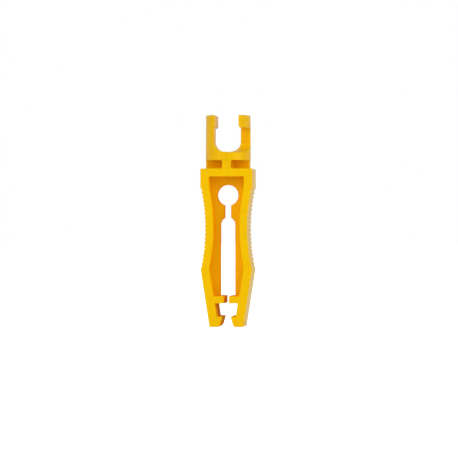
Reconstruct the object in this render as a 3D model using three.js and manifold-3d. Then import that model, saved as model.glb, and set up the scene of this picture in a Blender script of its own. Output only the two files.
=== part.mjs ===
// Fuse puller: a one-piece plastic moulding with a clip for glass tube fuses at the top, two squeeze
// arms with finger serrations, and hooked jaws for blade fuses at the bottom.
// Millimetres. +Z runs from the jaw tips up to the clip, +X is to the right, the front faces -Y, and the
// origin is the middle of the base that the jaw tips stand on.
// The moulding bends at four thin places. It is divided there by narrow gaps, so each side can turn.

import * as THREE from "three";
import { mergeVertices } from "three/addons/utils/BufferGeometryUtils.js";
import Module from "manifold-3d";

// ---- driving dimensions ----

const DEPTH = 11.2; // front to back, over the handle
const WEB_THICKNESS = 2.0;
const BEND_GAP = 0.3; // gap that stands for each bending place

const SHOULDER_HALF_WIDTH = 6.42;
const CROSSBAR_TOP_Z = 39.35;
const CROSSBAR_HEIGHT = 2.0;
const SHOULDER_INNER_X = 4.35;

const GRIP_TOP_Z = 34.6;
const GRIP_BOTTOM_Z = 14.6;
const WAIST_HALF_WIDTH = 5.17;
const WAIST_INNER_X = 3.25;
const BULGE_INNER_X = 4.3;
const TOOTH_COUNT = 20;
const TOOTH_HEIGHT = 0.29;

const KEYHOLE_RADIUS = 2.65;
const KEYHOLE_Z = 32.75;
const NARROW_SLOT_HALF = 0.8;
const WIDE_SLOT_HALF = 1.91;
const WIDE_SLOT_TOP_Z = 27.28;

const TIP_OUTER_X = 4.16;
const LOWER_RAIL_INNER_X = 3.19;
const STOP_BAR_TOP_Z = 7.69;
const STOP_BAR_HEIGHT = 1.8;
const STOP_BAR_HALF_GAP = 0.65;

const JAW_INNER_TOP_X = 2.82;
const JAW_INNER_LOW_X = 2.36;
const HOOK_TOP_Z = 2.62;
const HOOK_TIP_X = 1.15;
const HOOK_RAMP_X = 1.5;
const HOOK_RAMP_Z = 1.05;
const HOOK_TOE_X = 2.3;

const NECK_RIB_WIDTH = 2.2;
const NECK_HEIGHT = 2.05;
const BARREL_RADIUS = 5.63;
const BARREL_TIP_RADIUS = 5.54;
// Heights in the clip are measured from its underside, on top of the neck.
const CLIP_HEIGHT = 11.25;
const CLIP_FLOOR = 2.12;
const CLIP_HALF_WIDTH = 3.13;
const CLIP_CORNER_RADIUS = 2.55;
const CLIP_BEND_HEIGHT = 4.6;
const LIP_HEIGHT = 3.15;
const LIP_HALF_GAP = 2.95;
const LIP_CHAMFER = 0.4;
const RECESS_FLOOR_HEIGHT = 4.4; // where the recess meets its foot ramp
const RECESS_FOOT_HEIGHT = 2.75; // part-way down the ramp, RECESS_FOOT_DEPTH in front of the floor
const RECESS_FOOT_DEPTH = 2.06;
const RECESS_EDGE_HEIGHT = 1.9; // where the ramp leaves the barrel

const ARC_STEPS = 16;
const BARREL_SEGMENTS = 72;

const webHalf = WEB_THICKNESS / 2;
const crossbarBottomZ = CROSSBAR_TOP_Z - CROSSBAR_HEIGHT;
const stopBarBottomZ = STOP_BAR_TOP_Z - STOP_BAR_HEIGHT;
const armTopZ = KEYHOLE_Z - BEND_GAP / 2;
const shoulderBottomZ = KEYHOLE_Z + BEND_GAP / 2;
const lipBottom = CLIP_HEIGHT - LIP_HEIGHT;
const prongBottom = CLIP_BEND_HEIGHT + BEND_GAP / 2;
const clipBaseTop = CLIP_BEND_HEIGHT - BEND_GAP / 2;

const yellow = new THREE.Color(0.93, 0.74, 0.01);

const wasm = await Module();
wasm.setup();

const tool = new THREE.Group();

// ---- small helpers ----

function plasticMesh(name, geometry) {
  const material = new THREE.MeshStandardMaterial({ color: yellow, roughness: 0.42, metalness: 0.0 });
  const mesh = new THREE.Mesh(geometry, material);
  mesh.name = name;
  return mesh;
}

// A flat outline of [x, z] points, in either direction round, made a block that is symmetric front to back.
function slab(points, thickness) {
  const shape = new THREE.Shape(points.map(([x, z]) => new THREE.Vector2(x, z)));
  const geometry = new THREE.ExtrudeGeometry(shape, { depth: thickness, bevelEnabled: false, steps: 1 });
  geometry.rotateX(Math.PI / 2);
  geometry.translate(0, thickness / 2, 0);
  return geometry;
}

// A plain block, standing on the height z, with its middle at x.
function block(name, width, thickness, height, x, z) {
  const mesh = plasticMesh(name, new THREE.BoxGeometry(width, thickness, height));
  mesh.position.set(x, 0, z + height / 2);
  return mesh;
}

function toSolid(geometry) {
  const bare = geometry.clone();
  bare.deleteAttribute("normal");
  bare.deleteAttribute("uv");
  const merged = mergeVertices(bare, 1e-5);
  return new wasm.Manifold(
    new wasm.Mesh({
      numProp: 3,
      vertProperties: new Float32Array(merged.attributes.position.array),
      triVerts: new Uint32Array(merged.index.array),
    }),
  );
}

function toGeometry(solid) {
  const mesh = solid.getMesh();
  const geometry = new THREE.BufferGeometry();
  geometry.setAttribute("position", new THREE.BufferAttribute(new Float32Array(mesh.vertProperties), 3));
  geometry.setIndex(new THREE.BufferAttribute(new Uint32Array(mesh.triVerts), 1));
  geometry.computeVertexNormals();
  return geometry;
}

// Points of a circular arc from one angle to another, both ends included.
function arc(centreX, centreZ, radius, from, to, steps) {
  return Array.from({ length: steps + 1 }, (_, i) => {
    const angle = from + ((to - from) * i) / steps;
    return [centreX + radius * Math.cos(angle), centreZ + radius * Math.sin(angle)];
  });
}

// x of a shallow arc that is `middle` at half height between two heights and `end` at both of them.
function waistArc(z, middle, end) {
  const centreZ = (GRIP_TOP_Z + GRIP_BOTTOM_Z) / 2;
  const chord = (GRIP_TOP_Z - GRIP_BOTTOM_Z) / 2;
  const sagitta = end - middle;
  const radius = (chord * chord + sagitta * sagitta) / (2 * sagitta);
  return middle + radius - Math.sqrt(radius * radius - (z - centreZ) ** 2);
}

// Points of a profile x(z) between two heights, from the lower one up.
function climb(profile, fromZ, toZ, steps) {
  return Array.from({ length: steps + 1 }, (_, i) => {
    const z = fromZ + ((toZ - fromZ) * i) / steps;
    return [profile(z), z];
  });
}

const mirrored = (points, side) => points.map(([x, z]) => [side * x, z]);
const sideName = (side) => (side < 0 ? "left" : "right");

// ---- handle profiles, given as half-widths from the middle plane ----

// Outer face of the grip with its V-shaped finger teeth, from the lower height up.
function toothedFace(fromZ, toZ) {
  const pitch = (GRIP_TOP_Z - GRIP_BOTTOM_Z) / TOOTH_COUNT;
  const points = [];
  for (let k = 0; k <= 2 * TOOTH_COUNT; k += 1) {
    const z = GRIP_BOTTOM_Z + (k * pitch) / 2;
    const lift = k % 2 === 0 ? TOOTH_HEIGHT / 2 : -TOOTH_HEIGHT / 2;
    if (z > fromZ && z < toZ) {
      points.push([waistArc(z, WAIST_HALF_WIDTH, SHOULDER_HALF_WIDTH - TOOTH_HEIGHT / 2) + lift, z]);
    }
  }
  const smooth = (z) => waistArc(z, WAIST_HALF_WIDTH, SHOULDER_HALF_WIDTH - TOOTH_HEIGHT / 2);
  return [[smooth(fromZ), fromZ], ...points, [smooth(toZ), toZ]];
}

const railInner = (z) => waistArc(z, WAIST_INNER_X, BULGE_INNER_X);

// Inner face of the rail between two heights, upwards: the arc, then the straight wall under the crossbar.
function innerFace(fromZ, toZ) {
  return climb(railInner, fromZ, toZ, ARC_STEPS);
}

const taper = (SHOULDER_HALF_WIDTH - TIP_OUTER_X) / GRIP_BOTTOM_Z;
const outerTaper = (z) => TIP_OUTER_X + taper * z;

function lowerRailInner(z) {
  const share = (z - STOP_BAR_TOP_Z) / (GRIP_BOTTOM_Z - STOP_BAR_TOP_Z);
  return LOWER_RAIL_INNER_X + (BULGE_INNER_X - LOWER_RAIL_INNER_X) * share;
}

// ---- root: crossbar, shoulders and the web that joins them over the keyhole ----

function crossbar() {
  return block("crossbar", 2 * SHOULDER_HALF_WIDTH, DEPTH, CROSSBAR_HEIGHT, 0, crossbarBottomZ);
}

function shoulder(side) {
  const outline = [
    ...toothedFace(shoulderBottomZ, GRIP_TOP_Z).slice(0, -1),
    [SHOULDER_HALF_WIDTH, GRIP_TOP_Z],
    [SHOULDER_HALF_WIDTH, crossbarBottomZ],
    [SHOULDER_INNER_X, crossbarBottomZ],
    ...innerFace(shoulderBottomZ, GRIP_TOP_Z).reverse(),
  ];
  return plasticMesh(`${sideName(side)}_shoulder`, slab(mirrored(outline, side), DEPTH));
}

function webBridge() {
  const rightSide = [...innerFace(shoulderBottomZ, GRIP_TOP_Z), [SHOULDER_INNER_X, crossbarBottomZ]];
  const start = Math.asin((shoulderBottomZ - KEYHOLE_Z) / KEYHOLE_RADIUS);
  const outline = [
    ...rightSide,
    ...mirrored(rightSide, -1).reverse(),
    ...arc(0, KEYHOLE_Z, KEYHOLE_RADIUS, Math.PI - start, start, 2 * ARC_STEPS),
  ];
  return plasticMesh("web_bridge", slab(outline, WEB_THICKNESS));
}

// ---- neck: one rib from front to back, and a web in the middle plane on each side of it ----

function neckRib() {
  return block("neck_rib", NECK_RIB_WIDTH, DEPTH, NECK_HEIGHT, 0, CROSSBAR_TOP_Z);
}

function neckWeb(side) {
  const outer = Math.sqrt(BARREL_RADIUS ** 2 - webHalf ** 2);
  const width = outer - NECK_RIB_WIDTH / 2;
  const middle = side * (outer - width / 2);
  return block(`${sideName(side)}_neck_web`, width, WEB_THICKNESS, NECK_HEIGHT, middle, CROSSBAR_TOP_Z);
}

// ---- arms ----

function grip(side) {
  const outline = [
    ...toothedFace(GRIP_BOTTOM_Z, armTopZ),
    ...innerFace(GRIP_BOTTOM_Z, armTopZ).reverse(),
  ];
  outline[0] = [SHOULDER_HALF_WIDTH, GRIP_BOTTOM_Z];
  return plasticMesh(`${sideName(side)}_grip`, slab(mirrored(outline, side), DEPTH));
}

function lowerRail(side) {
  const outline = [
    [SHOULDER_HALF_WIDTH, GRIP_BOTTOM_Z],
    [BULGE_INNER_X, GRIP_BOTTOM_Z],
    [LOWER_RAIL_INNER_X, STOP_BAR_TOP_Z],
    [outerTaper(STOP_BAR_TOP_Z), STOP_BAR_TOP_Z],
  ];
  return plasticMesh(`${sideName(side)}_lower_rail`, slab(mirrored(outline, side), DEPTH));
}

// Thin web of one arm: it follows the rail outside, and the round hole and the two slots inside.
function armWeb(side) {
  const topAngle = Math.asin((armTopZ - KEYHOLE_Z) / KEYHOLE_RADIUS);
  const slotAngle = -Math.acos(NARROW_SLOT_HALF / KEYHOLE_RADIUS);
  const wideCentreZ = WIDE_SLOT_TOP_Z - WIDE_SLOT_HALF;
  const shoulderAngle = Math.acos(NARROW_SLOT_HALF / WIDE_SLOT_HALF);
  const outline = [
    [lowerRailInner(STOP_BAR_TOP_Z), STOP_BAR_TOP_Z],
    ...innerFace(GRIP_BOTTOM_Z, armTopZ),
    ...arc(0, KEYHOLE_Z, KEYHOLE_RADIUS, topAngle, slotAngle, ARC_STEPS),
    ...arc(0, wideCentreZ, WIDE_SLOT_HALF, shoulderAngle, 0, ARC_STEPS / 2),
    [WIDE_SLOT_HALF, STOP_BAR_TOP_Z],
  ];
  return plasticMesh(`${sideName(side)}_web`, slab(mirrored(outline, side), WEB_THICKNESS));
}

function stopBar(side) {
  const outline = [
    [outerTaper(STOP_BAR_TOP_Z), STOP_BAR_TOP_Z],
    [STOP_BAR_HALF_GAP, STOP_BAR_TOP_Z],
    [STOP_BAR_HALF_GAP, stopBarBottomZ],
    [outerTaper(stopBarBottomZ), stopBarBottomZ],
  ];
  return plasticMesh(`${sideName(side)}_stop_bar`, slab(mirrored(outline, side), DEPTH));
}

function jawWall(side) {
  const outline = [
    [outerTaper(stopBarBottomZ), stopBarBottomZ],
    [JAW_INNER_TOP_X, stopBarBottomZ],
    [JAW_INNER_LOW_X, HOOK_TOP_Z],
    [outerTaper(HOOK_TOP_Z), HOOK_TOP_Z],
  ];
  return plasticMesh(`${sideName(side)}_jaw_wall`, slab(mirrored(outline, side), DEPTH));
}

// Hook: flat on top, a lead-in ramp inside and a wide chamfer at the toe.
function hook(side) {
  const outline = [
    [outerTaper(HOOK_TOP_Z), HOOK_TOP_Z],
    [HOOK_TIP_X, HOOK_TOP_Z],
    [HOOK_RAMP_X, HOOK_RAMP_Z],
    [HOOK_TOE_X, 0],
    [TIP_OUTER_X, 0],
  ];
  return plasticMesh(`${sideName(side)}_hook`, slab(mirrored(outline, side), DEPTH));
}

// ---- clip: a short round barrel with a U-shaped notch through it ----

// Slice of the slightly tapered barrel between two heights.
function barrelSlice(from, to) {
  const radiusAt = (z) => BARREL_RADIUS + ((BARREL_TIP_RADIUS - BARREL_RADIUS) * z) / CLIP_HEIGHT;
  const profile = [
    new THREE.Vector2(0, from),
    new THREE.Vector2(radiusAt(from), from),
    new THREE.Vector2(radiusAt(to), to),
    new THREE.Vector2(0, to),
  ];
  const geometry = new THREE.LatheGeometry(profile, BARREL_SEGMENTS);
  geometry.rotateX(Math.PI / 2);
  return toSolid(geometry);
}

// Block that fills the notch: flat floor, round lower corners and upright walls.
function notchFiller() {
  const cornerX = CLIP_HALF_WIDTH - CLIP_CORNER_RADIUS;
  const cornerZ = CLIP_FLOOR + CLIP_CORNER_RADIUS;
  const rightCorner = arc(cornerX, cornerZ, CLIP_CORNER_RADIUS, -Math.PI / 2, 0, ARC_STEPS / 2);
  const outline = [
    ...rightCorner,
    [CLIP_HALF_WIDTH, CLIP_HEIGHT + 1],
    [-CLIP_HALF_WIDTH, CLIP_HEIGHT + 1],
    ...mirrored(rightCorner, -1).reverse(),
  ];
  return toSolid(slab(outline, 4 * BARREL_RADIUS));
}

// Block that cuts away one half of a prong: the back half of the left one, the front half of the right one.
// Its floor is the middle plane, and at its foot it ramps out to the barrel's surface.
function recessFiller(side) {
  const reach = 2 * BARREL_RADIUS;
  const outline = [
    [0, lipBottom],
    [0, RECESS_FLOOR_HEIGHT],
    [RECESS_FOOT_DEPTH / 4, (RECESS_FLOOR_HEIGHT + RECESS_FOOT_HEIGHT) / 2],
    [RECESS_FOOT_DEPTH, RECESS_FOOT_HEIGHT],
    [BARREL_RADIUS, RECESS_EDGE_HEIGHT],
    [reach, RECESS_EDGE_HEIGHT],
    [reach, lipBottom],
  ];
  const geometry = slab(outline, reach);
  geometry.rotateZ((-side * Math.PI) / 2);
  geometry.translate((side * reach) / 2, 0, 0);
  return toSolid(geometry);
}

// Everything further out than a given distance on one side, up past the top.
function sideFiller(side, inner) {
  const reach = 2 * BARREL_RADIUS;
  const geometry = new THREE.BoxGeometry(reach, 2 * reach, 4 * CLIP_HEIGHT);
  geometry.translate(side * (inner + reach / 2), 0, 0);
  return toSolid(geometry);
}

function clipBase() {
  const solid = barrelSlice(0, clipBaseTop)
    .subtract(notchFiller())
    .subtract(recessFiller(-1))
    .subtract(recessFiller(1));
  return plasticMesh("clip_base", toGeometry(solid));
}

function prong(side) {
  const solid = barrelSlice(prongBottom, lipBottom)
    .subtract(notchFiller())
    .subtract(recessFiller(side))
    .intersect(sideFiller(side, 0));
  return plasticMesh(`${sideName(side)}_prong`, toGeometry(solid));
}

// Lip at the top of a prong, full depth, a little proud of the notch wall, with a chamfer under it.
function lip(side) {
  const chamfer = [
    [LIP_HALF_GAP - 1, lipBottom - 1],
    [LIP_HALF_GAP - 1, lipBottom + LIP_CHAMFER],
    [LIP_HALF_GAP, lipBottom + LIP_CHAMFER],
    [CLIP_HALF_WIDTH, lipBottom],
    [CLIP_HALF_WIDTH, lipBottom - 1],
  ];
  const solid = barrelSlice(lipBottom, CLIP_HEIGHT)
    .intersect(sideFiller(side, LIP_HALF_GAP))
    .subtract(toSolid(slab(mirrored(chamfer, side), 4 * BARREL_RADIUS)));
  return plasticMesh(`${sideName(side)}_lip`, toGeometry(solid));
}

// ---- the whole tool ----

const handle = new THREE.Group();
handle.add(crossbar(), webBridge(), neckRib());
const clip = new THREE.Group();
clip.position.z = CROSSBAR_TOP_Z + NECK_HEIGHT;
clip.add(clipBase());
tool.add(handle, clip);

for (const side of [-1, 1]) {
  handle.add(shoulder(side), neckWeb(side));
  const arm = new THREE.Group();
  arm.add(grip(side), lowerRail(side), armWeb(side), stopBar(side), jawWall(side), hook(side));
  handle.add(arm);
  clip.add(prong(side), lip(side));
}

export default tool;
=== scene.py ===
import math

import bmesh
import bpy
import numpy as np
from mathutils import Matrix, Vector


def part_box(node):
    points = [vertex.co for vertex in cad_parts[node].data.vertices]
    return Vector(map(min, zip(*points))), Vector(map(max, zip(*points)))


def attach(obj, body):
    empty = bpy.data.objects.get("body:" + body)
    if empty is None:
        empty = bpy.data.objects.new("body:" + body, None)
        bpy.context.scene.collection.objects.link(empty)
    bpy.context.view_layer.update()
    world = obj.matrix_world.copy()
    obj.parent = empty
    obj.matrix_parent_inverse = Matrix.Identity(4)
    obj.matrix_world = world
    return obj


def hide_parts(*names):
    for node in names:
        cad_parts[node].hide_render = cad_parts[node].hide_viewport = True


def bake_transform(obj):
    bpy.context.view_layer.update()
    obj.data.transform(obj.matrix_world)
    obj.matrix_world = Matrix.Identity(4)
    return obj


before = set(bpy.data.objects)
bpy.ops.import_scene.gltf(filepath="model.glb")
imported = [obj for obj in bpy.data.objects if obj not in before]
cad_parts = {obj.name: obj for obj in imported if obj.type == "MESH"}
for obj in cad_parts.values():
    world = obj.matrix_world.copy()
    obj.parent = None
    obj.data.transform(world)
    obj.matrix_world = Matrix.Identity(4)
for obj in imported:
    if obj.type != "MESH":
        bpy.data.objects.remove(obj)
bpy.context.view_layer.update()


# ---- The two squeeze arms ----
# Each arm is one thick wall of the moulding, as deep as the tool: half of the crossbar, the shoulder, the
# rail with its finger teeth, the stop bar, the jaw and the hook. Yellow plastic, moulded front and back in
# one shot, with a hair of draft and a fine parting line where the two mould halves met.

MM = 0.001
SIDES = {"left": -1.0, "right": 1.0}


def span(node):
    """Lowest and highest corner of a CAD node, in millimetres."""
    low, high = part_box(node)
    return np.array(low) / MM, np.array(high) / MM


cross_low, cross_high = span("crossbar")
bar_low, bar_high = span("right_stop_bar")
HALF_DEPTH = cross_high[1]
SHOULDER_SWELL = 0.04
SHOULDER_X = cross_high[0] + SHOULDER_SWELL
SHOULDER_INNER_X = 4.35
TIP_X = 4.19
TIP_Z = 0.06  # the draft and the parting line carry the middle of the tip down to the floor
TOE_X = 1.95
HOOK_RAMP_X = 1.62
HOOK_RAMP_Z = 0.62
HOOK_TIP_X = 1.08
POCKET_LOW_X = 2.36
POCKET_HIGH_X = 2.82
GRIP_LOW_Z = span("right_lower_rail")[1][2]
GRIP_HIGH_Z = GRIP_LOW_Z + 20.0
HOOK_TOP_Z = span("right_hook")[1][2]
WAIST_X = 5.20
TOOTH_PITCH = 1.03
TOOTH_LIFT = 0.15
FIRST_VALLEY = 0.8
RAIL_WAIST_X = 3.25
RAIL_END_X = 4.3
RAIL_FOOT_X = 3.19
RIM = 0.11
DRAFT = math.tan(math.radians(0.4))
PARTING = 0.018
PARTING_HALF_WIDTH = 0.05
PARTING_TOP_HALF_WIDTH = 0.02
HELD_OVERLAP = 0.3  # how far a held edge runs on inside the wall beside it
SMOOTH = 9.0  # longer than any side, so the rounding takes half of each side
CORNER_POINTS = 5


def waist(z, middle, end):
    """Half-width of a shallow circular arc: `middle` half way up the grip and `end` at both ends of it."""
    chord = (GRIP_HIGH_Z - GRIP_LOW_Z) / 2
    radius = (chord**2 + (end - middle) ** 2) / (2 * (end - middle))
    return middle + radius - np.sqrt(radius**2 - (z - GRIP_LOW_Z - chord) ** 2)


def rail_inside(z):
    """Points (x, z) on the inner side of the right rail."""
    return np.stack([waist(z, RAIL_WAIST_X, RAIL_END_X), z], 1)


def arm_outline():
    """Corners (x, z) of the right half of the handle, from the middle of its top clockwise to the middle of
    the crossbar's underside, how far from each corner its rounding starts (SMOOTH where a chain of corners
    makes one curve), and which corners lie inside the tool and take the inner faces' dull finish with its
    deeper yellow, painted shade."""
    count = round((GRIP_HIGH_Z - GRIP_LOW_Z) / TOOTH_PITCH)
    tooth_z = GRIP_HIGH_Z - FIRST_VALLEY - TOOTH_PITCH / 2 * np.arange(2 * count - 1)
    lift = np.where(np.arange(2 * count - 1) % 2 == 0, -TOOTH_LIFT, TOOTH_LIFT)
    teeth = np.stack([waist(tooth_z, WAIST_X, SHOULDER_X - TOOTH_LIFT) + lift, tooth_z], 1)
    inner = rail_inside(np.linspace(GRIP_LOW_Z, GRIP_HIGH_Z, 15))
    taper = (SHOULDER_X - TIP_X) / GRIP_LOW_Z
    side_z = 7.0
    shoulder = np.array([[0, cross_high[2]], [SHOULDER_X, cross_high[2]], [SHOULDER_X, GRIP_HIGH_Z]])
    outer_side = np.array([[SHOULDER_X - 0.02, GRIP_LOW_Z], [TIP_X + taper * side_z, side_z], [TIP_X, TIP_Z]])
    jaw = np.array([
        [TOE_X, TIP_Z], [HOOK_RAMP_X, HOOK_RAMP_Z], [HOOK_TIP_X, HOOK_TOP_Z], [POCKET_LOW_X, HOOK_TOP_Z],
        [POCKET_HIGH_X, bar_low[2]], [bar_low[0], bar_low[2]], [bar_low[0], bar_high[2]],
        [RAIL_FOOT_X, bar_high[2]],
    ])
    top = np.array([[SHOULDER_INNER_X, cross_low[2]], [0, cross_low[2]]])
    corners = np.concatenate([shoulder, teeth, outer_side, jaw, inner, top])
    cuts = np.concatenate([
        [0, 0.28, 0.1], np.full(len(teeth), 0.16), [0.5, SMOOTH, 0.05],
        [0.35, 0.3, 0.05, 0.12, 0.12, 0.05, 0.05, 0.3], np.full(len(inner), SMOOTH), [0.35, 0],
    ])
    matt_and_shade = np.arange(len(corners)) >= len(shoulder) + len(teeth) + len(outer_side)
    return corners, cuts, matt_and_shade


def mitres(corners, closed):
    """How each corner of a clockwise outline moves when the outline grows by one: the sum of the outward
    normals of its two sides, divided by one plus their dot product. Also which way the outline turns at each
    corner. The ends of an outline that isn't closed move along the normal of their only side."""
    sides = np.roll(corners, -1, 0) - corners
    sides = sides / np.linalg.norm(sides, axis=1, keepdims=True)
    normal = np.stack([-sides[:, 1], sides[:, 0]], 1)
    before = np.roll(normal, 1, 0)
    if not closed:
        before[0] = normal[0]
        normal[-1] = before[-1]
    dot = (before * normal).sum(1, keepdims=True)
    turn = before[:, 0] * normal[:, 1] - before[:, 1] * normal[:, 0]
    return (before + normal) / (1 + dot), turn


def bend_through(start, corner, finish, t):
    """A curve that leaves `start` towards `corner` and reaches `finish` from it: the three points weighted by
    the square of the way left, twice the way left times the way done, and the square of the way done."""
    return (1 - t) ** 2 * start + 2 * t * (1 - t) * corner + t**2 * finish


def soften(corners, cuts):
    """Rounds the corners of outlines of shape (rings, corners, 2). Each corner becomes a curve between two
    points on its sides, a cut away from it and at most half a side."""
    ahead = np.roll(corners, -1, 1) - corners
    behind = np.roll(corners, 1, 1) - corners
    ahead_length = np.linalg.norm(ahead, axis=2, keepdims=True)
    behind_length = np.linalg.norm(behind, axis=2, keepdims=True)
    cut = np.minimum(cuts[..., None], np.minimum(ahead_length, behind_length) / 2)
    start = (corners + behind / behind_length * cut)[:, :, None]
    finish = (corners + ahead / ahead_length * cut)[:, :, None]
    t = np.linspace(0, 1, CORNER_POINTS)[None, None, :, None]
    return bend_through(start, corners[:, :, None], finish, t).reshape(len(corners), -1, 2)


def grid_faces(rows, columns, first=0, wrap=False):
    """Four-cornered faces of a grid of rows and columns of points, the columns joined round if wrap."""
    index = first + np.arange(rows * columns).reshape(rows, columns)
    after = np.roll(index, -1, 1) if wrap else index[:, 1:]
    here = index if wrap else index[:, :-1]
    return np.stack([here[:-1], after[:-1], after[1:], here[1:]], 2).reshape(-1, 4)


def add_piece(name, points, quads, caps, materials, second=None, seam=True):
    """A closed smooth-shaded mesh from points in millimetres, with matching points joined. The quads marked
    in `second` take the second material. The flat cut at x = 0, where two halves meet, keeps hard edges."""
    joining, on_seam = 2e-7, 1e-8  # metres
    loops = np.concatenate([quads.ravel(), *caps]).astype(np.int32)
    sizes = np.concatenate([np.full(len(quads), 4), [len(cap) for cap in caps]]).astype(np.int32)
    mesh = bpy.data.meshes.new(name)
    mesh.vertices.add(len(points))
    mesh.vertices.foreach_set("co", (points * MM).astype(np.float32).ravel())
    mesh.loops.add(len(loops))
    mesh.loops.foreach_set("vertex_index", loops)
    mesh.polygons.add(len(sizes))
    mesh.polygons.foreach_set("loop_start", (np.cumsum(sizes) - sizes).astype(np.int32))
    if second is not None:
        choice = np.concatenate([second, np.zeros(len(caps))]).astype(np.int32)
        mesh.polygons.foreach_set("material_index", choice)
    mesh.update(calc_edges=True)
    joined = bmesh.new()
    joined.from_mesh(mesh)
    bmesh.ops.remove_doubles(joined, verts=joined.verts, dist=joining)
    bmesh.ops.dissolve_degenerate(joined, edges=joined.edges, dist=joining / 2)
    joined.to_mesh(mesh)
    joined.free()
    mesh.shade_smooth()
    if seam:
        place = np.zeros(len(mesh.vertices) * 3, np.float32)
        mesh.vertices.foreach_get("co", place)
        ends = np.zeros(len(mesh.edges) * 2, np.int32)
        mesh.edges.foreach_get("vertices", ends)
        across = np.abs(place.reshape(-1, 3)[ends.reshape(-1, 2), 0]).max(1)
        hard = mesh.attributes.new("sharp_edge", "BOOLEAN", "EDGE")
        hard.data.foreach_set("value", across < on_seam)
    for material in materials:
        mesh.materials.append(material)
    piece = bpy.data.objects.new(name, mesh)
    bpy.context.scene.collection.objects.link(piece)
    shading = piece.modifiers.new("flat faces shade flat", "WEIGHTED_NORMAL")
    shading.keep_sharp = True
    return piece


def plate(corners, cuts, half_depth, rim, held=None):
    """A plate with a clockwise (x, z) outline, half_depth to the front and to the back. Free edges end in a
    quarter round of radius rim, on the way there they lean in by the draft, and they carry the parting line.
    Held edges (1 in `held`) flare into the wall beside them in a concave quarter round instead."""
    held = np.zeros(len(corners)) if held is None else held
    quarter = np.linspace(math.pi / 2, 0, 5)
    round_in = np.concatenate([rim * (1 - np.cos(quarter)), np.zeros(3)])
    round_up = np.concatenate([1 - np.sin(quarter), np.ones(3)])
    line = np.array([PARTING_HALF_WIDTH, PARTING_TOP_HALF_WIDTH, 0])
    reach = np.concatenate([np.ones(len(quarter)), line / half_depth])
    wall = np.concatenate([np.zeros(len(quarter)), np.ones(len(line))])
    ridge = np.array([0, 0, 0, 0, 0, 0, 0, 1]) * PARTING
    y = -reach[:, None] * (half_depth + rim * (2 * held - 1) * round_up[:, None])
    lean = (1 - held) * (DRAFT * (-y - half_depth) - ridge[:, None])
    inset = round_in[:, None] - wall[:, None] * HELD_OVERLAP * held + lean
    y = np.concatenate([y, -y[-2::-1]])
    inset = np.concatenate([inset, inset[-2::-1]])
    mitre, turn = mitres(corners, closed=False)
    rings = corners[None] - inset[:, :, None] * mitre[None]
    least_cut = 0.02 * (cuts > 0)
    ring_cuts = np.maximum(cuts[None] - np.sign(-turn) * inset * (cuts < SMOOTH), least_cut)
    flat = soften(rings, ring_cuts)
    depth = np.repeat(y, CORNER_POINTS, axis=1)
    points = np.stack([flat[:, :, 0], depth, flat[:, :, 1]], 2).reshape(-1, 3)
    rows, columns = flat.shape[:2]
    quads = grid_faces(rows, columns, wrap=True)
    front = np.arange(columns)[::-1]
    back = (rows - 1) * columns + np.arange(columns)
    return points, quads, [front, back]


def mirrored(points, quads, caps, side):
    """The same piece on the left (side -1) or the right (side 1)."""
    if side > 0:
        return points, quads, caps
    return points * [-1, 1, 1], quads[:, ::-1], [cap[::-1] for cap in caps]


def moulded_surface():
    """Node group for the skin of moulded plastic. Cloudy flow shades the colour a little, a fine grain and
    slow waves give the height, and the roughness varies with both."""
    group = bpy.data.node_groups.new("moulded_surface", "ShaderNodeTree")
    sockets = [
        ("Colour", "INPUT", "NodeSocketColor"), ("Grain", "INPUT", "NodeSocketFloat"),
        ("Gloss", "INPUT", "NodeSocketFloat"), ("Colour", "OUTPUT", "NodeSocketColor"),
        ("Roughness", "OUTPUT", "NodeSocketFloat"), ("Height", "OUTPUT", "NodeSocketFloat"),
    ]
    for name, way, kind in sockets:
        group.interface.new_socket(name, in_out=way, socket_type=kind)
    nodes, links = group.nodes, group.links
    given = nodes.new("NodeGroupInput")
    result = nodes.new("NodeGroupOutput")
    place = nodes.new("ShaderNodeTexCoord")

    def noise(scale, detail, rough):
        node = nodes.new("ShaderNodeTexNoise")
        node.inputs["Scale"].default_value = scale
        node.inputs["Detail"].default_value = detail
        node.inputs["Roughness"].default_value = rough
        links.new(place.outputs["Object"], node.inputs["Vector"])
        return node.outputs["Fac"]

    def spread(value, low, high, out_low, out_high):
        node = nodes.new("ShaderNodeMapRange")
        for key, number in zip(("From Min", "From Max", "To Min", "To Max"), (low, high, out_low, out_high)):
            node.inputs[key].default_value = number
        links.new(value, node.inputs["Value"])
        return node.outputs["Result"]

    def combine(kind, first, second):
        node = nodes.new("ShaderNodeMath")
        node.operation = kind
        for socket, value in zip(node.inputs, (first, second)):
            if isinstance(value, (int, float)):
                socket.default_value = value
            else:
                links.new(value, socket)
        return node.outputs[0]

    cloud = noise(170, 3, 0.55)
    speck = noise(2600, 2, 0.6)
    grain = noise(9000, 3, 0.65)
    wave = noise(420, 2, 0.5)
    shade = combine("ADD", spread(cloud, 0.3, 0.7, 0.975, 1.02), spread(speck, 0.62, 0.8, 0.0, -0.03))
    tint = nodes.new("ShaderNodeVectorMath")
    tint.operation = "SCALE"
    links.new(given.outputs["Colour"], tint.inputs[0])
    links.new(shade, tint.inputs["Scale"])
    links.new(tint.outputs["Vector"], result.inputs["Colour"])
    uneven = combine("ADD", spread(cloud, 0.3, 0.7, -0.04, 0.04), spread(grain, 0.3, 0.7, -0.05, 0.05))
    links.new(combine("ADD", given.outputs["Gloss"], uneven), result.inputs["Roughness"])
    fine = combine("MULTIPLY", grain, given.outputs["Grain"])
    links.new(combine("ADD", fine, combine("MULTIPLY", wave, 0.6)), result.inputs["Height"])
    return group


skin = moulded_surface()


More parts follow.
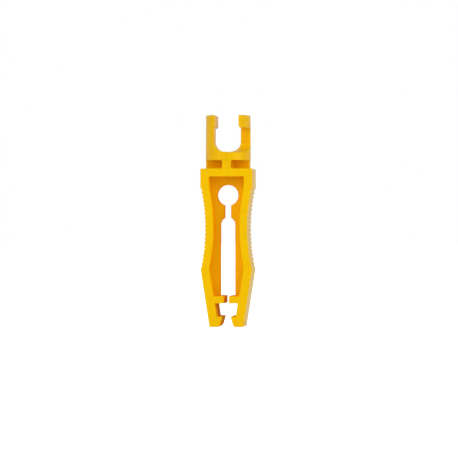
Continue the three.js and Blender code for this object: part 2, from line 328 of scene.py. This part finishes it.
def plastic(name, colour, grain, gloss, bump):
    """Semi-gloss moulded plastic: the skin group over a Principled shader, with a little light inside it."""
    material = bpy.data.materials.new(name)
    material.use_nodes = True
    nodes, links = material.node_tree.nodes, material.node_tree.links
    shader = nodes["Principled BSDF"]
    shader.inputs["Specular IOR Level"].default_value = 0.5
    shader.inputs["Specular Tint"].default_value = (1.0, 0.8, 0.1, 1)
    shader.inputs["Subsurface Weight"].default_value = 0.2
    shader.inputs["Subsurface Radius"].default_value = (1.0, 0.3, 0.05)
    shader.inputs["Subsurface Scale"].default_value = 1.0 * MM
    surface = nodes.new("ShaderNodeGroup")
    surface.node_tree = skin
    surface.inputs["Colour"].default_value = (*colour, 1)
    surface.inputs["Grain"].default_value = grain
    surface.inputs["Gloss"].default_value = gloss
    relief = nodes.new("ShaderNodeBump")
    relief.inputs["Strength"].default_value = bump
    relief.inputs["Distance"].default_value = 0.02 * MM
    links.new(surface.outputs["Colour"], shader.inputs["Base Color"])
    links.new(surface.outputs["Roughness"], shader.inputs["Roughness"])
    links.new(surface.outputs["Height"], relief.inputs["Height"])
    links.new(relief.outputs["Normal"], shader.inputs["Normal"])
    return material


# The real tool is one plastic. Its inner faces are dull and a deeper yellow here; the deeper yellow is painted
# shade, which stands for part of the light that bounces between the walls.
rail_plastic = plastic("rail_plastic", (0.98, 0.575, 0.0003), grain=1.0, gloss=0.27, bump=0.35)
matt_and_shade_plastic = plastic("matt_and_shade_plastic", (1.0, 0.5, 0.0003), grain=1.6, gloss=0.72, bump=0.5)
matt_and_shade_plastic.node_tree.nodes["Principled BSDF"].inputs["Specular IOR Level"].default_value = 0.02


def bend_with(piece):
    """Bakes the piece's placement into its points."""
    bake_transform(piece)


corners, cuts, matt_and_shade = arm_outline()
arm_shape = plate(corners, cuts, HALF_DEPTH, RIM)
# Faces round the inner corners take the dull plastic, whose deeper yellow is painted shade between the walls.
matt_and_shade_columns = np.repeat(matt_and_shade, CORNER_POINTS)
matt_and_shade_quads = np.tile(matt_and_shade_columns, len(arm_shape[1]) // len(matt_and_shade_columns))
for side, sign in SIDES.items():
    finishes_and_shade = [rail_plastic, matt_and_shade_plastic]
    arm = add_piece(f"{side}_arm_wall", *mirrored(*arm_shape, sign), finishes_and_shade, matt_and_shade_quads)
    bend_with(arm)
    walls = ("shoulder", "grip", "lower_rail", "stop_bar", "jaw_wall", "hook")
    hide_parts("crossbar", *(f"{side}_{wall}" for wall in walls))


# ---- The web with its keyhole ----
# A thin wall in the middle plane ties each rail to the crossbar and the stop bar. It ends at a keyhole: a
# round hole, a narrow slot and a wide slot, which let the arms bend. Small fillets join it to its neighbours.

WEB_HALF = span("web_bridge")[1][1]
HOLE_Z = 32.75
HOLE_RADIUS = 2.6
NARROW_X = 0.77
WIDE_X = 1.82
WIDE_TOP_Z = 27.28
WEB_FILLET = 0.32


def circle(centre_z, radius, start, finish, count):
    """Points (x, z) on a circle round the middle line, between two angles in radians."""
    angle = np.linspace(start, finish, count)
    return np.stack([radius * np.cos(angle), centre_z + radius * np.sin(angle)], 1)


def web_outline():
    """Corners of the right web, clockwise from the top of the round hole: up the middle to the crossbar,
    down the rail, along the stop bar and up the keyhole's edge. Also the rounding cuts and the held mask."""
    wide_z = WIDE_TOP_Z - WIDE_X
    rail = rail_inside(np.linspace(GRIP_HIGH_Z, GRIP_LOW_Z, 15))
    held_part = np.concatenate([
        [[0, cross_low[2]], [SHOULDER_INNER_X, cross_low[2]]], rail,
        [[RAIL_FOOT_X, bar_high[2]], [WIDE_X, bar_high[2]]],
    ])
    slot = circle(wide_z, WIDE_X, 0, math.acos(NARROW_X / WIDE_X), 7)
    hole = circle(HOLE_Z, HOLE_RADIUS, -math.acos(NARROW_X / HOLE_RADIUS), math.pi / 2, 19)
    above_fillet_z = bar_high[2] + WEB_FILLET + 0.03
    free_part = np.concatenate([[[WIDE_X, above_fillet_z]], slot, hole])
    corners = np.concatenate([held_part, free_part])
    held_cuts = [0, 0.5, *np.full(len(rail), SMOOTH), 0.5, 0.02]
    slot_cuts = [0.1, *np.full(len(slot) - 1, SMOOTH), 0.15]
    hole_cuts = [0.15, *np.full(len(hole) - 2, SMOOTH), 0]
    held = np.concatenate([np.ones(len(held_part)), np.zeros(len(free_part))])
    return corners, np.array([*held_cuts, *slot_cuts, *hole_cuts]), held


# A little deeper yellow than the rails for the same reason: painted shade, as it lies recessed between them.
web_shade_plastic = plastic("web_shade_plastic", (1.0, 0.56, 0.0003), grain=1.6, gloss=0.45, bump=0.45)
corners, cuts, held = web_outline()
web_shape = plate(corners, cuts, WEB_HALF, WEB_FILLET, held)
# All the web's edges take the dull plastic, whose deeper yellow is painted shade.
edge_shade_quads = np.ones(len(web_shape[1]))
for side, sign in SIDES.items():
    finishes_and_shade = [web_shade_plastic, matt_and_shade_plastic]
    web = add_piece(f"{side}_keyhole_web", *mirrored(*web_shape, sign), finishes_and_shade, edge_shade_quads)
    bend_with(web)
    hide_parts("web_bridge", f"{side}_web")


# ---- The neck ----
# A short post on the crossbar carries the clip: a rib from front to back and a thin web on each side of it,
# moulded with the rest, with small fillets at its foot, under the clip and in its corners.

RIB_HALF = span("neck_rib")[1][0] - 0.01
NECK_WEB_X = span("right_neck_web")[1][0] - 0.04
NECK_FOOT_Z = cross_high[2]
CLIP_Z = span("clip_base")[0][2]
NECK_FILLET = 0.3
NECK_ROOT = 0.3  # how far the post runs on inside the crossbar and the clip
RIB_Y = HALF_DEPTH - 0.1


def neck_section():
    """Corners (x, y) of the plus-shaped section, clockwise from above, with their rounding cuts."""
    half = np.array([
        [-RIB_HALF, RIB_Y], [RIB_HALF, RIB_Y], [RIB_HALF, WEB_HALF], [NECK_WEB_X, WEB_HALF],
        [NECK_WEB_X, -WEB_HALF], [RIB_HALF, -WEB_HALF],
    ])
    cuts = np.array([0.2, 0.2, 0.3, 0.2, 0.2, 0.3])
    return np.concatenate([half, -half]), np.tile(cuts, 2)


def neck():
    """The section carried up from inside the crossbar to inside the clip. It grows at both ends in a concave
    quarter round, but not past its own front, back and sides."""
    corners, cuts = neck_section()
    quarter = np.linspace(0, math.pi / 2, 6)
    grow = NECK_FILLET * (1 - np.sin(quarter))
    rise = NECK_FILLET * (1 - np.cos(quarter))
    grow = np.concatenate([[NECK_FILLET], grow, grow[::-1], [NECK_FILLET]])
    foot_z, head_z = NECK_FOOT_Z + rise, CLIP_Z - rise[::-1]
    z = np.concatenate([[NECK_FOOT_Z - NECK_ROOT], foot_z, head_z, [CLIP_Z + NECK_ROOT]])
    mitre, _ = mitres(corners, closed=True)
    rings = soften(corners[None] + grow[:, None, None] * mitre[None], np.tile(cuts, (len(z), 1)))
    limit = np.array([NECK_WEB_X, RIB_Y])
    rings = np.clip(rings, -limit, limit)
    rows, columns = rings.shape[:2]
    points = np.concatenate([rings, np.repeat(z[:, None, None], columns, 1)], 2).reshape(-1, 3)
    quads = grid_faces(rows, columns, wrap=True)[:, ::-1]
    foot = np.arange(columns)
    return points, quads, [foot, (rows - 1) * columns + foot[::-1]]


# The same plastic as the rails, a little darker here for the clip and the neck: painted shade for how the
# light falls on the round barrel.
clip_shade_plastic = plastic("clip_shade_plastic", (0.95, 0.54, 0.0003), grain=0.8, gloss=0.34, bump=0.3)
neck_shape = neck()
# The faces in the pockets between the rib and the webs take the dull plastic, whose deeper yellow is painted
# shade under the clip.
section_corners = len(neck_section()[0])
column = np.arange(section_corners * CORNER_POINTS)
corner = column // CORNER_POINTS % 3
pocket_shade = (corner == 2) | (corner == 1) & (column % CORNER_POINTS == CORNER_POINTS - 1)
pocket_shade_quads = np.tile(pocket_shade, len(neck_shape[1]) // len(pocket_shade))
neck_piece = add_piece("neck", *neck_shape, [clip_shade_plastic, matt_and_shade_plastic], pocket_shade_quads, seam=False)
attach(neck_piece, "head")
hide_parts("neck_rib", "left_neck_web", "right_neck_web")


# ---- The snap clip ----
# A short round barrel with a U-shaped notch through it from front to back. Each prong ends in a full-depth
# lip; below the lip one half of the prong, front on the right and back on the left, is left out, so that the
# two mould halves can shape the hooked lips without slides. The left half is the right half turned round.

CLIP_TOP_Z = span("right_lip")[1][2]
LIP_Z = span("right_lip")[0][2]
LIP_X = span("right_lip")[0][0]
FLOOR_Z = CLIP_Z + 2.12
NOTCH_X = 3.13
NOTCH_ROUND = 2.55
BARREL_LOW = 5.63
BARREL_HIGH = 5.54
CLIP_RIM = 0.15
CUT_FLOOR_Z = 45.8
CUT_FOOT_Z = 43.35
CUT_SWEEP = 6.0
EDGE_BLUR = 0.12
SIDE_EASE = 0.05
SIDE_EASE_WIDTH = 0.15
UNDER_LIP_FILLET = 0.15
LEDGE_RISE = 0.06
CHAMFER_RISE = 0.34
UNCUT = -9.0  # further forward than the barrel, so nothing is cut


def barrel_radius(z):
    """Outside radius at a height. The barrel narrows a little towards its top."""
    return BARREL_LOW + (BARREL_HIGH - BARREL_LOW) * (z - CLIP_Z) / (CLIP_TOP_Z - CLIP_Z)


def larger(a, b, blur):
    """The larger of two values, with the corner between them rounded: half the sum of both and of the root of
    their squared difference plus the squared blur."""
    return (a + b + np.sqrt((a - b) ** 2 + blur**2)) / 2


def cut_floor(z):
    """How far forward (-y) what is left of the right prong reaches at a height: nothing is cut under the
    foot, a quarter of an ellipse sweeps in to the middle plane, and above it the floor is flat."""
    share = np.clip((CUT_FLOOR_Z - z) / (CUT_FLOOR_Z - CUT_FOOT_Z), 0, 1)
    return np.where(share >= 1, UNCUT, -CUT_SWEEP * (1 - np.sqrt(1 - share**2)))


def notch_rows():
    """Rows from the middle of the notch floor round its corner and up the prong to the top. Each row has a
    point of the notch (x, z), the matching end (angle, z) on the barrel, how far it shrinks for the top's
    rounding and under the lip, and how deep the cut is, where that doesn't follow from the height."""
    flat = np.linspace(0, NOTCH_X - NOTCH_ROUND, 3)
    turn = np.linspace(0, math.pi / 2, 29)[1:]
    corner_x = NOTCH_X - NOTCH_ROUND + NOTCH_ROUND * np.sin(turn)
    corner_z = FLOOR_Z + NOTCH_ROUND * (1 - np.cos(turn))
    first = math.acos(flat[-1] / BARREL_LOW)
    half = len(turn) // 2
    end_angle = np.concatenate([
        np.arccos(flat / BARREL_LOW), first * (1 - np.arange(1, half + 1) / half), np.zeros(len(turn) - half),
    ])
    end_z = np.concatenate([np.full(3 + half, CLIP_Z), np.linspace(CLIP_Z, corner_z[-1], half + 1)[1:]])
    quarter = np.linspace(0, math.pi / 2, 5)
    shaft_z = np.linspace(corner_z[-1], LIP_Z - UNDER_LIP_FILLET, 12)[1:]
    fillet_z = LIP_Z - UNDER_LIP_FILLET + UNDER_LIP_FILLET * np.sin(quarter[1:])
    ledge_z = LIP_Z + LEDGE_RISE * np.linspace(0, 1, 5)[1:]
    edge_z = ledge_z[-1] + CLIP_RIM * (1 - np.cos(quarter[1:]))
    lip_z = np.linspace(LIP_Z + 0.42, CLIP_TOP_Z - CLIP_RIM, 9)
    top_z = CLIP_TOP_Z - CLIP_RIM * (1 - np.sin(quarter[1:]))
    upper_z = np.concatenate([shaft_z, fillet_z, ledge_z, edge_z, lip_z, top_z])
    chamfer = np.clip((upper_z - LIP_Z - LEDGE_RISE) / CHAMFER_RISE, 0, 1)
    upper_x = NOTCH_X - (NOTCH_X - LIP_X) * chamfer
    cut = np.concatenate([
        np.zeros(len(shaft_z)), -UNDER_LIP_FILLET * (1 - np.cos(quarter[1:])), [-0.6, -1.6, -3.2, UNCUT],
        np.full(len(edge_z) + len(lip_z) + len(top_z), UNCUT),
    ])
    shrink_top = np.concatenate([np.zeros(len(upper_z) - 4), CLIP_RIM * (1 - np.cos(quarter[1:]))])
    shrink_edge = np.zeros(len(upper_z))
    start = len(shaft_z) + len(fillet_z)
    shrink_edge[start:start + 4] = CLIP_RIM
    shrink_edge[start + 4:start + 8] = CLIP_RIM * (1 - np.sin(quarter[1:]))
    lower = 3 + len(turn)
    none = np.zeros(lower)
    return {
        "x": np.concatenate([flat, corner_x, upper_x]),
        "z": np.concatenate([np.full(3, FLOOR_Z), corner_z, upper_z]),
        "end_angle": np.concatenate([end_angle, np.zeros(len(upper_z))]),
        "end_z": np.concatenate([end_z, upper_z]),
        "cut": np.concatenate([np.full(lower, np.nan), cut]),
        "shrink_top": np.concatenate([none, shrink_top]),
        "shrink_edge": np.concatenate([none, shrink_edge]),
        "bottom_rows": 3 + half,
    }


def barrel_side(rows, sign, steps=30):
    """One side of the half barrel, front (sign -1) or back (+1), from the notch wall to the barrel's own side
    or underside. In the plane of angle and height it is a straight blend of the two ends; the cut then
    pushes it in, and a curve through the sharp corner rounds the notch's edge."""
    t = np.linspace(0, 1, steps)[None, :]
    shrink = rows["shrink_top"] + (rows["shrink_edge"] if sign < 0 else 0)
    x_start = (rows["x"] + shrink)[:, None]
    z_start = rows["z"][:, None]
    radius_start = barrel_radius(z_start)
    angle_start = np.arccos(np.clip(x_start / (radius_start - shrink[:, None]), 0, 1))
    round_way = radius_start * (angle_start - rows["end_angle"][:, None])
    length = np.hypot(round_way, z_start - rows["end_z"][:, None])
    bottom = (np.arange(len(rows["x"])) < rows["bottom_rows"])[:, None]
    t_first = np.minimum(CLIP_RIM / length, 0.4)
    t_last = np.where(bottom, 1 - t_first, 1.0)
    share = t_first + (t_last - t_first) * t

    def surface(share):
        angle = angle_start + (rows["end_angle"][:, None] - angle_start) * share
        z = z_start + (rows["end_z"][:, None] - z_start) * share
        radius = barrel_radius(z) - shrink[:, None]
        x = radius * np.cos(angle)
        y = sign * radius * np.sin(angle)
        depth = np.where(np.isnan(rows["cut"][:, None]), cut_floor(z), rows["cut"][:, None])
        reach = larger(y, depth, EDGE_BLUR)
        ease = SIDE_EASE * np.exp(-((y / SIDE_EASE_WIDTH) ** 2)) * np.clip(1 + depth, 0, 1)
        return np.stack([x - ease, reach, z], 2)

    skin_points = surface(share)
    corner = surface(np.zeros((len(rows["x"]), 1)))
    corner[:, :, 0] = x_start
    wall = corner.copy()
    wall[:, :, 1] -= sign * CLIP_RIM
    s = np.linspace(0, 1, 5)[None, :-1, None]
    rim = bend_through(wall, corner, skin_points[:, :1], s)
    return np.concatenate([rim, skin_points], 1)


def half_barrel():
    """The right half of the clip: front and back sides, the notch's wall, the underside with its rounded
    edge, the flat top and the cut at the middle, all with matching edges."""
    rows = notch_rows()
    front = barrel_side(rows, -1)
    back = barrel_side(rows, 1)
    count, columns = front.shape[:2]
    across = np.linspace(0, 1, 13)[None, :, None]
    wall = front[:, :1] * (1 - across) + back[:, :1] * across
    low = rows["bottom_rows"]
    under_front = front[:low, -1]
    under_back = back[:low, -1]
    angle = rows["end_angle"][:low, None]
    inner = (BARREL_LOW - CLIP_RIM) * np.concatenate([np.cos(angle), -np.sin(angle)], 1)
    turn_front = np.concatenate([inner, np.full((low, 1), CLIP_Z)], 1)
    sharp_front = np.concatenate([
        BARREL_LOW * np.cos(angle), -BARREL_LOW * np.sin(angle), np.full((low, 1), CLIP_Z)], 1)
    s = np.linspace(0, 1, 5)[None, :, None]

    def rounding(skin_end, sharp, flat_end):
        return bend_through(skin_end[:, None], sharp[:, None], flat_end[:, None], s)

    flip = np.array([1, -1, 1])
    front_round = rounding(under_front, sharp_front, turn_front)
    back_round = rounding(under_back, sharp_front * flip, turn_front * flip)[:, ::-1]
    chord = turn_front[:, None] * (1 - across) + (turn_front * flip)[:, None] * across
    under = np.concatenate([front_round[:, :-1], chord, back_round[:, 1:]], 1)
    grids = [(front, False), (back, True), (wall, True), (under, False)]
    points, quads, starts = [], [], []
    first = 0
    for grid, flip_faces in grids:
        faces = grid_faces(*grid.shape[:2], first=first)
        quads.append(faces[:, ::-1] if flip_faces else faces)
        points.append(grid.reshape(-1, 3))
        starts.append(first)
        first += grid.shape[0] * grid.shape[1]
    wide = wall.shape[1]
    last = count - 1
    top = np.concatenate([
        starts[0] + last * columns + np.arange(columns)[::-1],
        starts[2] + last * wide + np.arange(1, wide),
        starts[1] + last * columns + np.arange(1, columns - 1),
    ])
    middle = np.concatenate([
        starts[0] + np.arange(columns), starts[3] + np.arange(1, under.shape[1]),
        starts[1] + np.arange(columns - 1)[::-1], starts[2] + np.arange(1, wide - 1)[::-1],
    ])
    return np.concatenate(points), np.concatenate(quads), [top, middle]


def turned(points, quads, caps, side):
    """The right half as it is, or turned half round about the tool's long axis to make the left one."""
    return (points if side > 0 else points * [-1, -1, 1]), quads, caps


clip_shape = half_barrel()
# The faces left out under each lip are a deeper yellow too: painted shade from the lip above them.
centre = clip_shape[0][clip_shape[1]].mean(1)
under_lip = (centre[:, 2] > CUT_FLOOR_Z - 0.3) & (centre[:, 2] < LIP_Z) & (centre[:, 0] > NOTCH_X + 0.2)
recess_shade = under_lip & (np.hypot(centre[:, 0], centre[:, 1]) < BARREL_HIGH - 0.15)
recess_shade_plastic = plastic("recess_shade_plastic", (0.9, 0.46, 0.0003), grain=1.2, gloss=0.6, bump=0.4)
for side, sign in SIDES.items():
    finishes_and_shade = [clip_shade_plastic, recess_shade_plastic]
    half_clip = add_piece(f"{side}_half_clip", *turned(*clip_shape, sign), finishes_and_shade, recess_shade)
    bend_with(half_clip)
    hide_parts("clip_base", f"{side}_prong", f"{side}_lip")


# ---- The floor, the light and the camera ----
# A plain pale floor without an edge in view, white surroundings, three softboxes in front of the tool and a
# long lens level with it. The floor and the surroundings look white but cast less light than that.

floor_mesh = bpy.data.meshes.new("floor")
reach = 3.0
floor_mesh.from_pydata(
    [(-reach, -reach, 0), (reach, -reach, 0), (reach, reach, 0), (-reach, reach, 0)], [], [(0, 1, 2, 3)])
floor = bpy.data.objects.new("floor", floor_mesh)
bpy.context.scene.collection.objects.link(floor)
bpy.context.scene.view_settings.view_transform = "Standard"
world = bpy.data.worlds.new("studio")
bpy.context.scene.world = world
world.use_nodes = True
pale = bpy.data.materials.new("pale_floor")
pale.use_nodes = True
pale_shader = pale.node_tree.nodes["Principled BSDF"]
pale_shader.inputs["Base Color"].default_value = (0.8, 0.8, 0.8, 1)
pale_shader.inputs["Roughness"].default_value = 0.9
pale_shader.inputs["Emission Color"].default_value = (1, 1, 1, 1)


def brightness(tree, socket, seen, source, low, high):
    """Sets a strength to `seen` where it is looked at directly. As a light it is `low` to `high`, in step
    with a source value between 0 and 1."""
    path = tree.nodes.new("ShaderNodeLightPath")
    cast = tree.nodes.new("ShaderNodeMapRange")
    cast.interpolation_type = "SMOOTHSTEP"
    cast.inputs["To Min"].default_value = low
    cast.inputs["To Max"].default_value = high
    cast.inputs["Value"].default_value = 0.0
    if source is not None:
        tree.links.new(source, cast.inputs["Value"])
    blend = tree.nodes.new("ShaderNodeMix")
    blend.inputs["B"].default_value = seen
    tree.links.new(path.outputs["Is Camera Ray"], blend.inputs["Factor"])
    tree.links.new(cast.outputs["Result"], blend.inputs["A"])
    tree.links.new(blend.outputs["Result"], socket)


brightness(pale.node_tree, pale_shader.inputs["Emission Strength"], 1.0, None, 0.15, 0.15)
floor_mesh.materials.append(pale)
direction = world.node_tree.nodes.new("ShaderNodeTexCoord")
parts = world.node_tree.nodes.new("ShaderNodeSeparateXYZ")
world.node_tree.links.new(direction.outputs["Generated"], parts.inputs["Vector"])
surroundings = world.node_tree.nodes["Background"]
brightness(world.node_tree, surroundings.inputs["Strength"], 1.0, parts.outputs["Y"], 0.42, 0.62)
surroundings.inputs["Color"].default_value = (1, 1, 1, 1)


def softbox(name, bearing, height, size, power):
    """A square area light at a bearing and a height in degrees from the tool's front, facing its middle."""
    distance, tool_middle_z = 600, 26
    data = bpy.data.lights.new(name, "AREA")
    data.size = size * MM
    data.energy = power
    lamp = bpy.data.objects.new(name, data)
    bpy.context.scene.collection.objects.link(lamp)
    turn, rise = math.radians(bearing), math.radians(height)
    away = Vector((math.sin(turn) * math.cos(rise), -math.cos(turn) * math.cos(rise), math.sin(rise)))
    lamp.location = Vector((0, 0, tool_middle_z * MM)) + away * distance * MM
    lamp.rotation_mode = "QUATERNION"
    lamp.rotation_quaternion = (-away).to_track_quat("-Z", "Y")


softbox("left_softbox", -38, 18, 260, 0.78)
softbox("right_softbox", 54, 16, 380, 1.08)
softbox("front_softbox", -8, 36, 300, 0.32)

camera_data = bpy.data.cameras.new("camera")
camera_data.sensor_width = 36.0
camera_data.lens = 185.5
camera_data.clip_start = 0.01
camera_data.clip_end = 20.0
camera = bpy.data.objects.new("camera", camera_data)
bpy.context.scene.collection.objects.link(camera)
bpy.context.scene.camera = camera
CAMERA_YAW = math.radians(5.2)
CAMERA_DISTANCE = 590.0
AIM_RIGHT = 0.18
AIM_Z = 24.34
camera.location = (
    (CAMERA_DISTANCE * math.sin(CAMERA_YAW) + AIM_RIGHT * math.cos(CAMERA_YAW)) * MM,
    (-CAMERA_DISTANCE * math.cos(CAMERA_YAW) + AIM_RIGHT * math.sin(CAMERA_YAW)) * MM,
    AIM_Z * MM,
)
camera.rotation_euler = (math.pi / 2, 0, CAMERA_YAW)
